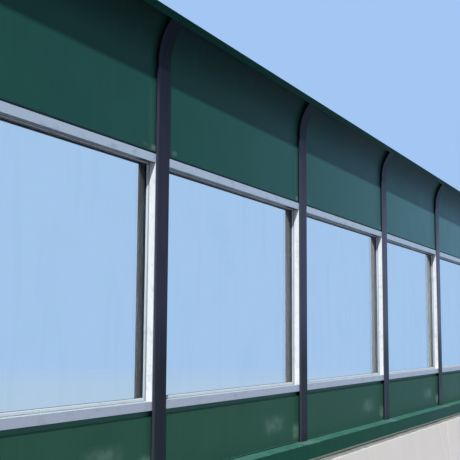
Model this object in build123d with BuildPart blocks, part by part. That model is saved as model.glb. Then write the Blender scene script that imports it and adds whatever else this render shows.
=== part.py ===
# Highway noise barrier: steel H posts with heads that curve out over the road, standing on a concrete
# parapet. Each bay holds a green metal panel, a glazed aluminium frame and a curved green metal panel.
# Millimetres. X runs along the wall, the road is on the -Y side, Z is up.
# z = 0 is the foot of the parapet, y = 0 is the plane through the middles of the posts.
import os
from math import cos, radians, sin, tan

from build123d import *

# Bays
bay_length = 2000
bay_count = 5
end_overrun = 200  # parapet beyond the first and the last post

# Concrete parapet, sloped on the road side
parapet_height = 800
parapet_front_reach = 200  # from the middles of the posts to the top edge
parapet_rear_reach = 150
toe_height = 75
kick_height = 180
kick_angle = 55
face_angle = 84
edge_chamfer = 5
bays_per_pour = 2
pour_joint = 12
pour_joint_offset = 350  # a joint stands this far before a post
filler_recess = 15

# Mortar bed under the panels
mortar_height = 32
mortar_front_inset = 56
mortar_rear = 70
plate_pocket = 6  # clear space between a base plate and the mortar

# Welded steel H post
post_depth = 125
flange_width = 125
flange_thickness = 9
web_thickness = 6.5
bend_height = 3195
bend_radius = 345  # to the road face of the front flange
bend_angle = 36
head_length = 62  # straight end beyond the bend

# Base plate and its stiffeners
plate_width = 250
plate_depth = 250
plate_thickness = 20
stiffener_thickness = 8
stiffener_height = 88
stiffener_toe = 12
stiffener_end_gap = 8  # from the stiffener's tip to the edge of the plate

# Panels
panel_depth = 80
panel_rear_gap = 11  # to the rear flange, filled by a seal
panel_end_gap = 10  # to the web of the post
panel_edge_radius = 3
neck_height = 29
neck_recess = 15
stack_gap = 0.3  # between pieces that rest on each other

# Window frame, glazing beads and pane
frame_bottom = 1300
frame_height = 1370
frame_depth = 80
frame_front_gap = 3  # from the front flange to the road face of the frame
rail_width = 48
frame_edge_radius = 1.5
groove_start = 37  # from the road face of the frame to the groove in front of the beads
groove_width = 7
groove_depth = 3
bead_depth = 9
bead_height = 8
sill_bead_height = 17
bead_nose = 3  # blunt edge of a bead where its slope starts
bead_flat = 2  # flat top of a bead next to the pane
front_gasket = 2
pane_thickness = 8
rear_gasket = 1
rear_lip = 8
pane_side_gap = 3

# Seals
rail_seal_height = 8
rail_seal_recess = 8
seal_width = 30
seal_inset = 2  # from the end of the panel

# Sheet metal cap along the top
sheet = 3
cap_leg = 38
cap_gap = 1.5
sheet_joint = 2

# Sheet metal sill in front of the lower panels
sill_projection = 89.5  # from the road face of the posts
sill_front_height = 105
sill_fall = 3
sill_upstand = 6
sill_return = 18
sill_notch_gap = 1.5

# Places worked out from the sizes
wall_length = bay_count * bay_length
post_xs = [i * bay_length - wall_length / 2 for i in range(bay_count + 1)]
parapet_front = -parapet_front_reach
parapet_start = post_xs[0] - end_overrun
parapet_end = post_xs[-1] + end_overrun
post_front = -post_depth / 2
post_rear = post_depth / 2
bend_centre = post_front - bend_radius
mortar_top = parapet_height + mortar_height
mortar_front = parapet_front + mortar_front_inset
plate_top = parapet_height + plate_thickness
panel_rear = post_rear - flange_thickness - panel_rear_gap
panel_front = panel_rear - panel_depth
panel_inset = web_thickness / 2 + panel_end_gap
neck_bottom = frame_bottom - stack_gap - neck_height
frame_front = post_front + flange_thickness + frame_front_gap
frame_rear = frame_front + frame_depth
frame_top = frame_bottom + frame_height
bead_front = frame_front + groove_start + groove_width
bead_rear = bead_front + bead_depth
pane_front = bead_rear + front_gasket
pane_rear = pane_front + pane_thickness
lip_front = pane_rear + rear_gasket
upper_bottom = frame_top + rail_seal_height
sill_front = post_front - sill_projection

os.makedirs("parts", exist_ok=True)


def save(piece, name):
    piece.part.label = name
    export_step(piece.part, f"parts/{name}.step")


def head_point(face, along):
    # The point of a bent face at y = face that lies this far beyond the end of the bend
    turn = radians(bend_angle)
    radius = face - bend_centre
    return Vector(
        bend_centre + radius * cos(turn) - along * sin(turn),
        bend_height + radius * sin(turn) + along * cos(turn),
    )


def bent_outline(front, rear, bottom):
    # Side view of a piece that follows the posts up, round the bend and to their ends
    Line((front, bottom), (front, bend_height))
    CenterArc((bend_centre, bend_height), front - bend_centre, 0, bend_angle)
    Polyline(
        head_point(front, 0),
        head_point(front, head_length),
        head_point(rear, head_length),
        head_point(rear, 0),
    )
    CenterArc((bend_centre, bend_height), rear - bend_centre, 0, bend_angle)
    Polyline((rear, bend_height), (rear, bottom), (front, bottom))


def sheet_outline(*points):
    # A folded sheet: its outer line through the points, and its inner line one sheet to the left
    outer = [Vector(point) for point in points]
    runs = [(end - start).normalized() for start, end in zip(outer, outer[1:])]
    sides = [Vector(-run.Y, run.X) for run in runs]
    inner = [
        point + (before + after) * (sheet / (1 + before.dot(after)))
        for point, before, after in zip(outer, [sides[0], *sides], [*sides, sides[-1]])
    ]
    Polyline(*outer, *reversed(inner), outer[0])


def parapet_outline():
    kick_foot = parapet_front - (parapet_height - toe_height - kick_height) / tan(radians(face_angle))
    toe = kick_foot - kick_height / tan(radians(kick_angle))
    Polyline(
        (parapet_front, parapet_height),
        (kick_foot, toe_height + kick_height),
        (toe, toe_height),
        (toe, 0),
        (parapet_rear_reach, 0),
        (parapet_rear_reach, parapet_height),
        (parapet_front, parapet_height),
    )


# Parapet, poured in lengths with a joint between them
pour_joints = [x - pour_joint_offset for x in post_xs[bays_per_pour:-1:bays_per_pour]]
pour_starts = [parapet_start] + [x + pour_joint / 2 for x in pour_joints]
pour_ends = [x - pour_joint / 2 for x in pour_joints] + [parapet_end]

for number, (start, end) in enumerate(zip(pour_starts, pour_ends), 1):
    with BuildPart() as parapet:
        with BuildSketch(Plane.YZ.offset(start)):
            with BuildLine():
                parapet_outline()
            make_face()
        extrude(amount=end - start)
        top_edges = parapet.faces().sort_by(Axis.Z)[-1].edges().filter_by(Axis.X)
        chamfer(top_edges, edge_chamfer)
    save(parapet, f"parapet_{number}")

with BuildPart() as fillers:
    for joint_x in pour_joints:
        with BuildSketch(Plane.YZ.offset(joint_x)):
            with BuildLine():
                parapet_outline()
            make_face()
            offset(amount=-filler_recess, kind=Kind.INTERSECTION)
        extrude(amount=pour_joint / 2 - stack_gap, both=True)
save(fillers, "joint_fillers")

# Mortar bed, with a pocket round each base plate that is open to the rear
with BuildPart() as mortar:
    pocket_front = -plate_depth / 2 - plate_pocket
    with BuildSketch(Plane.XY.offset(parapet_height)):
        with Locations((0, (mortar_front + mortar_rear) / 2)):
            Rectangle(parapet_end - parapet_start, mortar_rear - mortar_front)
        with Locations([(x, (pocket_front + mortar_rear) / 2) for x in post_xs]):
            pocket_width = plate_width + 2 * plate_pocket
            Rectangle(pocket_width, mortar_rear - pocket_front, mode=Mode.SUBTRACT)
    extrude(amount=mortar_height)
save(mortar, "mortar_bed")

# Posts: an H section welded from plates. Each plate is a straight length and a bent head. The shaft is
# welded to a base plate with two stiffeners
web_depth = post_depth - 2 * flange_thickness
section_plates = [  # place of the middle, width and depth
    (post_front + flange_thickness / 2, flange_width, flange_thickness),
    (0, web_thickness, web_depth),
    (post_rear - flange_thickness / 2, flange_width, flange_thickness),
]


def make_shaft(x, middle, width, depth):
    with BuildPart() as shaft:
        with BuildSketch(Plane((x, 0, plate_top))):
            with Locations((0, middle)):
                Rectangle(width, depth)
        extrude(amount=bend_height - plate_top)
    return shaft.part


def make_head(x, middle, width, depth):
    with BuildPart() as head:
        with BuildLine(Plane.YZ.offset(x)) as spine:
            bend = JernArc((0, bend_height), (0, 1), -bend_centre, bend_angle)
            Line(bend @ 1, (bend @ 1) + (bend % 1) * head_length)
        with BuildSketch(Plane((x, 0, bend_height))):
            with Locations((0, middle)):
                Rectangle(width, depth)
        sweep(path=spine.wires()[0])
    return head.part


def make_base_plate(x):
    with BuildPart() as plate:
        with BuildSketch(Plane((x, 0, parapet_height))):
            Rectangle(plate_width, plate_depth)
        extrude(amount=plate_thickness)
    return plate.part


def make_stiffener(x, side):
    reach = plate_depth / 2 - stiffener_end_gap
    with BuildPart() as stiffener:
        with BuildSketch(Plane.YZ.offset(x)):
            with BuildLine():
                Polyline(
                    (side * post_rear, plate_top),
                    (side * reach, plate_top),
                    (side * reach, plate_top + stiffener_toe),
                    (side * (post_rear + stiffener_toe), plate_top + stiffener_height),
                    (side * post_rear, plate_top + stiffener_height),
                    (side * post_rear, plate_top),
                )
            make_face()
        extrude(amount=stiffener_thickness / 2, both=True)
    return stiffener.part


for number, x in enumerate(post_xs, 1):
    pieces = [make_shaft(x, *plate) for plate in section_plates]
    pieces += [make_head(x, *plate) for plate in section_plates]
    pieces += [make_base_plate(x), make_stiffener(x, -1), make_stiffener(x, 1)]
    post = Compound(label=f"post_{number}", children=pieces)
    export_step(post, f"parts/post_{number}.step")


# Green metal panel under the window, with a neck that the frame rests on
def make_lower_panel(left, right):
    centre = ((left + right) / 2, (panel_front + panel_rear) / 2)
    with BuildPart() as panel:
        with BuildSketch(Plane.XY.offset(mortar_top)):
            with Locations(centre):
                Rectangle(right - left, panel_depth)
        extrude(amount=neck_bottom - mortar_top)
        fillet(panel.edges().filter_by(Axis.X), panel_edge_radius)
        with BuildSketch(Plane.XY.offset(neck_bottom)):
            with Locations(centre):
                Rectangle(right - left, panel_depth - 2 * neck_recess)
        extrude(amount=neck_height)
    return panel


# Green metal panel over the window, bent with the posts
def make_upper_panel(left, right):
    with BuildPart() as panel:
        with BuildSketch(Plane.YZ.offset(left)):
            with BuildLine():
                bent_outline(panel_front, panel_rear, upper_bottom)
            make_face()
        extrude(amount=right - left)
        fillet(panel.faces().sort_by(Axis.Z)[0].edges().filter_by(Axis.X), panel_edge_radius)
    return panel


# Window frame: four mitred members, and the four glazing beads that hold the pane
def make_window_frame(left, right):
    width = right - left
    centre = ((left + right) / 2, (frame_bottom + frame_top) / 2)
    # Steps of the section from the road face to the rear: where each starts and its width
    steps = [
        (frame_front, rail_width),
        (frame_front + groove_start, rail_width - groove_depth),
        (bead_front, rail_width),
        (lip_front, rail_width + rear_lip),
        (frame_rear, 0),
    ]
    with BuildPart() as frame:
        for (start, rail), (end, _) in zip(steps, steps[1:]):
            with BuildSketch(Plane.XZ.offset(-end)):
                with Locations(centre):
                    Rectangle(width, frame_height)
                    Rectangle(width - 2 * rail, frame_height - 2 * rail, mode=Mode.SUBTRACT)
            extrude(amount=end - start)
        fillet(frame.faces().sort_by(Axis.Y)[0].edges(), frame_edge_radius)
        with BuildSketch(Plane.XZ.offset(-frame_front)):
            cut = 4 * (rail_width + rear_lip)
            for x, z, tilt in [
                (left, frame_bottom, 45),
                (right, frame_bottom, -45),
                (right, frame_top, 45),
                (left, frame_top, -45),
            ]:
                with Locations((x, z)):
                    Rectangle(cut, stack_gap, rotation=tilt)
        extrude(amount=-frame_depth, mode=Mode.SUBTRACT)

        edge = rail_width + stack_gap
        low_trim = edge + sill_bead_height + stack_gap
        high_trim = edge + bead_height + stack_gap
        beads = [
            ((left, 0, frame_bottom), (1, 0, 0), sill_bead_height, edge, width - edge),
            ((right, 0, frame_bottom), (0, 0, 1), bead_height, low_trim, frame_height - high_trim),
            ((right, 0, frame_top), (-1, 0, 0), bead_height, edge, width - edge),
            ((left, 0, frame_top), (0, 0, -1), bead_height, high_trim, frame_height - low_trim),
        ]
        for corner, run, height, start, end in beads:
            along = Plane(origin=corner, x_dir=(0, 1, 0), z_dir=run)
            with BuildSketch(along.offset(start)):
                with BuildLine():
                    Polyline(
                        (bead_front, edge),
                        (bead_front, edge + bead_nose),
                        (bead_rear - bead_flat, edge + height),
                        (bead_rear, edge + height),
                        (bead_rear, edge),
                        (bead_front, edge),
                    )
                make_face()
            extrude(amount=end - start)
    return frame


def make_pane(left, right):
    bottom = frame_bottom + rail_width + stack_gap
    top = frame_top - rail_width - pane_side_gap
    width = right - left - 2 * (rail_width + pane_side_gap)
    with BuildPart() as pane:
        with BuildSketch(Plane.XZ.offset(-pane_rear)):
            with Locations(((left + right) / 2, (bottom + top) / 2)):
                Rectangle(width, top - bottom)
        extrude(amount=pane_thickness)
    return pane


# Cap: a sheet channel over the ends of the posts and panels
def make_cap(start, end):
    front = post_front - cap_gap - sheet
    rear = post_rear + cap_gap + sheet
    top = head_length + stack_gap + sheet
    leg_end = top - sheet - cap_leg
    with BuildPart() as cap:
        with BuildSketch(Plane.YZ.offset(start)):
            with BuildLine():
                sheet_outline(
                    head_point(rear, leg_end),
                    head_point(rear, top),
                    head_point(front, top),
                    head_point(front, leg_end),
                )
            make_face()
        extrude(amount=end - start)
    return cap


# Sill: a folded sheet from the lower panel out over the mortar, notched round the posts' flanges
def make_sill(start, end, posts):
    foot = mortar_top + stack_gap
    rear = panel_front - stack_gap - sheet
    front_top = foot + sill_front_height
    rear_top = front_top + sill_fall
    with BuildPart() as sill:
        with BuildSketch(Plane.YZ.offset(start)):
            with BuildLine():
                sheet_outline(
                    (rear, rear_top + sill_upstand),
                    (rear, rear_top),
                    (sill_front, front_top),
                    (sill_front, foot),
                    (sill_front + sill_return, foot),
                )
            make_face()
        extrude(amount=end - start)
        notch_front = post_front - sill_notch_gap
        notch_depth = panel_front - notch_front
        with BuildSketch(Plane.XY.offset(foot)):
            with Locations([(x, notch_front + notch_depth / 2) for x in posts]):
                Rectangle(flange_width + 2 * sill_notch_gap, notch_depth)
        extrude(amount=sill_front_height + sill_fall + sill_upstand, mode=Mode.SUBTRACT)
    return sill


for bay in range(bay_count):
    left_post, right_post = post_xs[bay], post_xs[bay + 1]
    left = left_post + panel_inset
    right = right_post - panel_inset
    start = left_post + sheet_joint / 2 if bay else left_post - flange_width / 2
    end = right_post + flange_width / 2
    if bay < bay_count - 1:
        end = right_post - sheet_joint / 2
    number = bay + 1
    save(make_lower_panel(left, right), f"lower_panel_{number}")
    save(make_window_frame(left, right), f"window_frame_{number}")
    save(make_pane(left, right), f"pane_{number}")
    save(make_upper_panel(left, right), f"upper_panel_{number}")
    save(make_cap(start, end), f"top_cap_{number}")
    save(make_sill(start, end, (left_post, right_post)), f"sill_flashing_{number}")

# Rubber seals: on top of each window frame, and between the panels and the flanges of the posts
panel_ends = []
for left_post, right_post in zip(post_xs, post_xs[1:]):
    panel_ends.append(left_post + panel_inset + seal_inset)
    panel_ends.append(right_post - panel_inset - seal_inset - seal_width)

with BuildPart() as rail_seals:
    seal_front = panel_front + rail_seal_recess
    seal_rear = frame_rear - rail_seal_recess
    with BuildSketch(Plane.XY.offset(frame_top + stack_gap)):
        with Locations([(x + bay_length / 2, (seal_front + seal_rear) / 2) for x in post_xs[:-1]]):
            Rectangle(bay_length - 2 * panel_inset, seal_rear - seal_front)
    extrude(amount=rail_seal_height - 2 * stack_gap)
save(rail_seals, "rail_seals")

with BuildPart() as front_seals:
    seal_front = post_front + flange_thickness + stack_gap
    seal_rear = panel_front - stack_gap
    for x in panel_ends:
        with BuildSketch(Plane.YZ.offset(x)):
            with BuildLine():
                bent_outline(seal_front, seal_rear, upper_bottom)
            make_face()
            with Locations(((seal_front + seal_rear) / 2, (mortar_top + stack_gap + neck_bottom) / 2)):
                Rectangle(seal_rear - seal_front, neck_bottom - mortar_top - stack_gap)
        extrude(amount=seal_width)
save(front_seals, "front_seals")

# The rear seals are thicker behind the window frames, which are less deep than the panels
with BuildPart() as rear_seals:
    seal_front = panel_rear + stack_gap
    seal_rear = post_rear - flange_thickness - stack_gap
    packer_front = frame_rear + stack_gap
    for x in panel_ends:
        with BuildSketch(Plane.YZ.offset(x)):
            with BuildLine():
                bent_outline(seal_front, seal_rear, mortar_top + stack_gap)
            make_face()
            with Locations(((packer_front + seal_rear) / 2, (frame_bottom + frame_top) / 2)):
                Rectangle(seal_rear - packer_front, frame_height)
        extrude(amount=seal_width)
save(rear_seals, "rear_seals")
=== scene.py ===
import math
import random

import bmesh
import bpy
from mathutils import Matrix, Vector


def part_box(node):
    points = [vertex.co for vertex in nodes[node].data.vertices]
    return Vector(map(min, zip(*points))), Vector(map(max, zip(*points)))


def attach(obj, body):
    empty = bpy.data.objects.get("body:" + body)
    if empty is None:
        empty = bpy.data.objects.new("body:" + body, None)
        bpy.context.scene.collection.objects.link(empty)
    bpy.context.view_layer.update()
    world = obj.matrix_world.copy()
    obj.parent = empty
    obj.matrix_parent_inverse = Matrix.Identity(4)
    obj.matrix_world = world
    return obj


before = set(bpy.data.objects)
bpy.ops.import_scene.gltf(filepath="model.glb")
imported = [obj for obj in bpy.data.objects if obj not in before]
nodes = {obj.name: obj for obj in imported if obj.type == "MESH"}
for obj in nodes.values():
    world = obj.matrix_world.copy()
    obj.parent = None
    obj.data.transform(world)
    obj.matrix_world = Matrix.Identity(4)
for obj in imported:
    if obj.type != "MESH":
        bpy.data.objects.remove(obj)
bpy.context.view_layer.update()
print("frame loaded,", len(nodes), "nodes")


def nodeBox(name):
    # Lowest and highest corner of a node in metres; +X runs along the wall, -Y faces the road
    return [[round(value, 5) for value in corner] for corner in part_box(name)]


# Places along the wall, taken from the CAD
postNumbers = range(1, 7)
postPlaces = [sum(corner[0] for corner in nodeBox(f"post_{i}")) / 2 for i in postNumbers]
bays = list(zip(postPlaces, postPlaces[1:]))
bayNumbers = range(1, len(bays) + 1)
bayLength = postPlaces[1] - postPlaces[0]

# The posts as in the CAD: base plate, H section and stiffeners, then the bend of the head
post = {
    "plateTop": 0.820,
    "halfWidth": 0.0625,
    "flangeInside": 0.0535,
    "webSide": 0.00325,
    "stiffenerSide": 0.004,
    "stiffenerReach": 0.115,
}
bend = {
    "height": 3.195,  # where the straight post ends
    "centre": -0.4075,
    "angle": math.radians(36),
    "head": 0.062,  # straight end beyond the arc
}


# Small node-building helpers
def screenColour(shade):
    # 0-255 screen colour to the linear colour that the shaders take
    values = [v / 255 for v in shade]
    linear = [v / 12.92 if v <= 0.04045 else ((v + 0.055) / 1.055) ** 2.4 for v in values]
    return (*linear, 1.0)


def fillInputs(tree, node, inputs):
    # Each input, by its label or number, takes a link or a plain value
    for key, value in inputs.items():
        if isinstance(value, bpy.types.NodeSocket):
            tree.links.new(value, node.inputs[key])
        else:
            node.inputs[key].default_value = value


def addNode(tree, kind, inputs, **settings):
    node = tree.nodes.new(kind)
    for key, value in settings.items():
        setattr(node, key, value)
    fillInputs(tree, node, inputs)
    return node.outputs


def calc(tree, operation, first, second=0.0, clamp=False):
    return addNode(tree, "ShaderNodeMath", {0: first, 1: second}, operation=operation, use_clamp=clamp)[0]


def multiply(tree, first, *others):
    for other in others:
        first = calc(tree, "MULTIPLY", first, other)
    return first


def remap(tree, value, fromLow, fromHigh, toLow=0.0, toHigh=1.0):
    # A range in a look holds these numbers: where a mark begins and is full, then its strength at each
    inputs = {"Value": value, "From Min": fromLow, "From Max": fromHigh, "To Min": toLow, "To Max": toHigh}
    return addNode(tree, "ShaderNodeMapRange", inputs, interpolation_type="SMOOTHSTEP")["Result"]


def nearTo(tree, value, centre, reach, soft):
    # 1 where the value lies within reach of the centre, 0 beyond, with a soft edge
    away = calc(tree, "ABSOLUTE", calc(tree, "SUBTRACT", value, centre))
    return remap(tree, away, reach, reach - soft)


def blendColours(tree, factor, first, second):
    # Each colour is a socket or a screen colour
    ends = [end if isinstance(end, bpy.types.NodeSocket) else screenColour(end) for end in (first, second)]
    return addNode(tree, "ShaderNodeMix", {0: factor, 6: ends[0], 7: ends[1]}, data_type="RGBA")[2]


def objectPlace(tree):
    return addNode(tree, "ShaderNodeTexCoord", {})["Object"]


def faceNormal(tree):
    return addNode(tree, "ShaderNodeNewGeometry", {})["Normal"]


def splitVector(tree, vector):
    return addNode(tree, "ShaderNodeSeparateXYZ", {0: vector})


def divideVector(tree, vector, divisor):
    return addNode(tree, "ShaderNodeVectorMath", {0: vector, 1: divisor}, operation="DIVIDE")[0]


def bumpFrom(tree, height):
    return addNode(tree, "ShaderNodeBump", {"Height": height, "Strength": 1.0, "Distance": 1.0})[0]


def makeGroup(name, inputs, output):
    # The numbers given as inputs are what the group uses where a material gives none
    tree = bpy.data.node_groups.new(name, "ShaderNodeTree")
    for label, value in inputs.items():
        kind = "NodeSocketVector" if isinstance(value, tuple) else "NodeSocketFloat"
        socket = tree.interface.new_socket(name=label, in_out="INPUT", socket_type=kind)
        socket.default_value = value
    tree.interface.new_socket(name=output, in_out="OUTPUT", socket_type="NodeSocketFloat")
    given = tree.nodes.new("NodeGroupInput").outputs
    result = tree.nodes.new("NodeGroupOutput").inputs[output]
    return tree, given, result


def useGroup(tree, group, inputs):
    node = tree.nodes.new("ShaderNodeGroup")
    node.node_tree = group
    fillInputs(tree, node, inputs)
    return node.outputs[0]


# Cloudy variation, stretched along one direction if wanted
def makeCloudGroup():
    inputs = {"Size": 0.5, "Stretch": (1.0, 1.0, 1.0), "Detail": 4.0, "Contrast": 1.0, "Roughness": 0.55}
    tree, given, result = makeGroup("cloudVariation", inputs, "Value")
    noiseInputs = {
        "Vector": divideVector(tree, objectPlace(tree), given["Stretch"]),
        "Scale": calc(tree, "DIVIDE", 1.0, given["Size"]),
        "Detail": given["Detail"],
        "Roughness": given["Roughness"],
    }
    noise = addNode(tree, "ShaderNodeTexNoise", noiseInputs)[0]
    spread = multiply(tree, calc(tree, "SUBTRACT", noise, 0.5), given["Contrast"])
    tree.links.new(calc(tree, "ADD", spread, 0.5, clamp=True), result)
    return tree


cloudGroup = makeCloudGroup()


def clouds(tree, size, detail, contrast=1.0, stretch=(1.0, 1.0, 1.0)):
    # A setting named for clouds holds these numbers; those of the dust and wear effects have no size
    inputs = {"Size": size, "Detail": detail, "Contrast": contrast, "Stretch": stretch}
    return useGroup(tree, cloudGroup, inputs)


# Dust on faces that look up
dustEffect = {"flattest": 0.9, "patchClouds": (5.0, 1.6), "thinnest": 0.3}


def makeDustGroup(settings):
    inputs = {"Amount": 0.5, "Patch Size": 0.08, "Steepest": 0.35}
    tree, given, result = makeGroup("settledDust", inputs, "Mask")
    upward = splitVector(tree, faceNormal(tree))["Z"]
    lying = remap(tree, upward, given["Steepest"], settings["flattest"])
    patches = clouds(tree, given["Patch Size"], *settings["patchClouds"])
    patchy = calc(tree, "ADD", multiply(tree, patches, 1 - settings["thinnest"]), settings["thinnest"])
    settled = calc(tree, "MULTIPLY", multiply(tree, lying, patchy), given["Amount"], clamp=True)
    tree.links.new(settled, result)
    return tree


dustGroup = makeDustGroup(dustEffect)

# Marks that rain leaves running down a face
streakEffect = {"detail": 3.0, "roughness": 0.5, "steepness": (0.3, 0.9), "lines": (0.5, 0.72)}


def makeStreakGroup(settings):
    tree, given, result = makeGroup("rainStreaks", {"Width": 0.03, "Length": 0.6, "Amount": 0.5}, "Mask")
    sizes = {0: given["Width"], 1: given["Width"], 2: given["Length"]}
    noiseInputs = {
        "Vector": divideVector(tree, objectPlace(tree), addNode(tree, "ShaderNodeCombineXYZ", sizes)[0]),
        "Scale": 1.0,
        "Detail": settings["detail"],
        "Roughness": settings["roughness"],
    }
    lines = remap(tree, addNode(tree, "ShaderNodeTexNoise", noiseInputs)[0], *settings["lines"])
    upward = calc(tree, "ABSOLUTE", splitVector(tree, faceNormal(tree))["Z"])
    steep = remap(tree, upward, *settings["steepness"], 1.0, 0.0)
    tree.links.new(multiply(tree, lines, steep, given["Amount"]), result)
    return tree


streakGroup = makeStreakGroup(streakEffect)

# Rubbed and chipped edges, found where a rounded normal leaves the flat one
wearEffect = {"samples": 4, "turned": (0.97, 0.75), "chipClouds": (4.0, 3.0)}


def makeWearGroup(settings):
    tree, given, result = makeGroup("edgeWear", {"Width": 0.003, "Amount": 0.6, "Chip Size": 0.02}, "Mask")
    rounded = addNode(tree, "ShaderNodeBevel", {"Radius": given["Width"]}, samples=settings["samples"])[0]
    normals = {0: faceNormal(tree), 1: rounded}
    agreement = addNode(tree, "ShaderNodeVectorMath", normals, operation="DOT_PRODUCT")["Value"]
    nearEdge = remap(tree, agreement, *settings["turned"])
    chips = clouds(tree, given["Chip Size"], *settings["chipClouds"])
    worn = calc(tree, "MULTIPLY", multiply(tree, nearEdge, chips), given["Amount"], clamp=True)
    tree.links.new(worn, result)
    return tree


wearGroup = makeWearGroup(wearEffect)

# Fine skin of sprayed paint, over the slow waves of thin sheet
skinEffect = {"peelClouds": (0.0035, 2.0), "waveDetail": 1.0}


def makeSkinGroup(settings):
    tree, given, result = makeGroup("paintSkin", {"Peel": 0.00004, "Wave": 0.0, "Wave Size": 0.35}, "Height")
    peel = multiply(tree, clouds(tree, *settings["peelClouds"]), given["Peel"])
    wave = multiply(tree, clouds(tree, given["Wave Size"], settings["waveDetail"]), given["Wave"])
    tree.links.new(calc(tree, "ADD", peel, wave), result)
    return tree


skinGroup = makeSkinGroup(skinEffect)


# How far along the wall the next post is
def makePostGroup():
    inputs = {"First Post": postPlaces[0], "Spacing": bayLength}
    tree, given, result = makeGroup("postDistance", inputs, "Next")
    along = splitVector(tree, objectPlace(tree))["X"]
    fromFirst = calc(tree, "SUBTRACT", along, given["First Post"])
    intoBay = calc(tree, "FLOORED_MODULO", fromFirst, given["Spacing"])
    tree.links.new(calc(tree, "SUBTRACT", given["Spacing"], intoBay), result)
    return tree


postGroup = makePostGroup()
print("surface effects ready")


# Materials
def newMaterial(name, inputs):
    material = bpy.data.materials.new(name)
    material.use_nodes = True
    tree = material.node_tree
    shader = tree.nodes["Principled BSDF"]
    fillInputs(tree, shader, inputs)
    return material, tree, shader


def addDabs(tree, colour, look, nextPost, height):
    # Pale dabs of dirt at listed places, broken up by clouds
    rubs = remap(tree, clouds(tree, *look["rubClouds"]), *look["rubShown"])
    for beforePost, reach, dabHeight, dabReach, strength in look["dabs"]:
        across = nearTo(tree, nextPost, beforePost, reach, reach * look["dabSoftness"])
        upward = nearTo(tree, height, dabHeight, dabReach, dabReach * look["dabSoftness"])
        dab = multiply(tree, across, upward, rubs, strength)
        colour = blendColours(tree, dab, colour, look["scuffAndHighlightColour"])
    return colour


def sheetPaint(name, look):
    material, tree, shader = newMaterial(name, {"Metallic": 0.0, "Specular IOR Level": look["shine"]})
    where = splitVector(tree, objectPlace(tree))
    nextPost = useGroup(tree, postGroup, {})
    cloudy = clouds(tree, *look["clouds"])
    colour = blendColours(tree, cloudy, look["dark"], look["light"])
    # Painted light and shade, ramped along the wall and up the height
    for axis, start, full, strength, shadingColour in look["paintedShading"]:
        ramp = remap(tree, where[axis], start, full, 0.0, strength)
        colour = blendColours(tree, ramp, colour, shadingColour)
    # Pale strips before each post; on the posts it is a painted highlight on the flange's sunlit left edge
    for beforePost, reach, soft, strength in look["paleStripsAndHighlights"]:
        line = nearTo(tree, nextPost, beforePost, reach, soft)
        paleStrip = multiply(tree, line, strength, remap(tree, where["Z"], *look["paleStripsBelow"]))
        colour = blendColours(tree, paleStrip, colour, look["scuffAndHighlightColour"])
    streakInputs = {"Width": look["streakWidth"], "Length": look["streakLength"], "Amount": look["streaks"]}
    streaks = useGroup(tree, streakGroup, streakInputs)
    colour = blendColours(tree, streaks, colour, look["streakColour"])
    colour = addDabs(tree, colour, look, nextPost, where["Z"])
    wear = useGroup(tree, wearGroup, {"Width": look["wearWidth"], "Amount": look["wear"]})
    colour = blendColours(tree, wear, colour, look["edgeColour"])
    dust = useGroup(tree, dustGroup, {"Amount": look["dust"]})
    rough = remap(tree, cloudy, 0.0, 1.0, *look["roughness"])
    finish = {
        "Base Color": blendColours(tree, dust, colour, look["dustColour"]),
        "Roughness": calc(tree, "ADD", rough, multiply(tree, dust, look["dustRoughness"]), clamp=True),
        "Normal": bumpFrom(tree, useGroup(tree, skinGroup, {"Peel": look["peel"], "Wave": look["wave"]})),
    }
    fillInputs(tree, shader, finish)
    return material


# paintedShading: painted light and shade by position: axis, where it starts, where it is full, strength,
# colour
# paleStripsAndHighlights: distance before the next post, half width, soft edge, strength
# dabs: distance before the next post, half width, height, half height, strength
sheetLook = {
    "paleStripsAndHighlights": [],
    "paleStripsBelow": (3.12, 2.95),
    "clouds": (0.45, 3.0, 1.6),
    "streakWidth": 0.035,
    "streakLength": 0.9,
    "streaks": 0.14,
    "dabs": [],
    "dabSoftness": 0.8,
    "rubClouds": (0.035, 3.0, 1.6),
    "rubShown": (0.3, 0.7, 0.45, 1.0),
    "wearWidth": 0.003,
    "wear": 0.25,
    "edgeColour": (64, 104, 100),
    "dust": 0.3,
    "dustColour": (80, 104, 96),
    "dustRoughness": 0.3,
    "roughness": (0.30, 0.42),
    "peel": 0.00003,
    "wave": 0.0015,
}
upperPanelLook = {
    **sheetLook,
    "dark": (31, 73, 68),
    "light": (35, 80, 75),
    # Lighter along the wall as painted sky reflection, darker under the cap as painted shade
    "paintedShading": [("X", -3.5, 5.5, 1.0, (78, 120, 131)), ("Z", 3.13, 3.43, 0.85, (8, 34, 25))],
    "paleStripsAndHighlights": [(0.085, 0.045, 0.035, 0.075)],
    "streakColour": (44, 88, 84),
    "scuffAndHighlightColour": (128, 154, 148),
    "dabs": [
        (0.062, 0.040, 2.706, 0.024, 0.65),
        (0.148, 0.030, 2.712, 0.016, 0.15),
        (1.840, 0.035, 2.712, 0.020, 0.32),
    ],
    "shine": 0.03,
}
lowerPanelLook = {
    **sheetLook,
    "dark": (41, 78, 65),
    "light": (47, 85, 72),
    # Lighter along the wall as painted sky reflection; the top strip under the window frame painted lighter
    # against its shade
    "paintedShading": [("X", 2.5, 5.5, 1.0, (54, 86, 74)), ("Z", 1.2675, 1.2715, 1.0, (78, 134, 122))],
    "streakColour": (58, 98, 86),
    "scuffAndHighlightColour": (110, 140, 131),
    "rubClouds": (0.06, 3.0, 1.6),
    "dabs": [(0.09, 0.09, 1.020, 0.07, 0.80), (0.47, 0.21, 1.095, 0.08, 0.38)],
    "shine": 0.02,
}
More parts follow.
